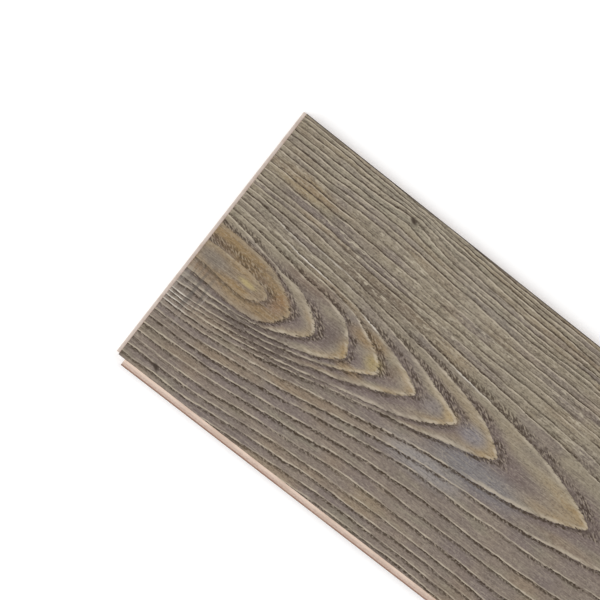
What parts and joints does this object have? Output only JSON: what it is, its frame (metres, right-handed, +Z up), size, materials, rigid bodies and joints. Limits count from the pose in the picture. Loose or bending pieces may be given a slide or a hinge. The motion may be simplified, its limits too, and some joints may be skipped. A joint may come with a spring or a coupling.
{
  "type": "laminate floor plank",
  "caption": "Flat laminate floor plank with an embossed oak-look decor face and tongue-and-groove click joints milled along its sides and ends.",
  "frame": {"origin": "on the underside, straight below the centre of the decor face", "axes": "+X along the length, towards the end with the tongue; +Y across, towards the side with the groove; +Z up out of the decor face"},
  "size_m": [1.2222, 0.2002, 0.008],
  "materials": {
    "laminate": "matt embossed oak-look decor over a pressed fibreboard core"
  },
  "bodies": {
    "root": {"plank": "laminate"}
  },
  "joints": []
}
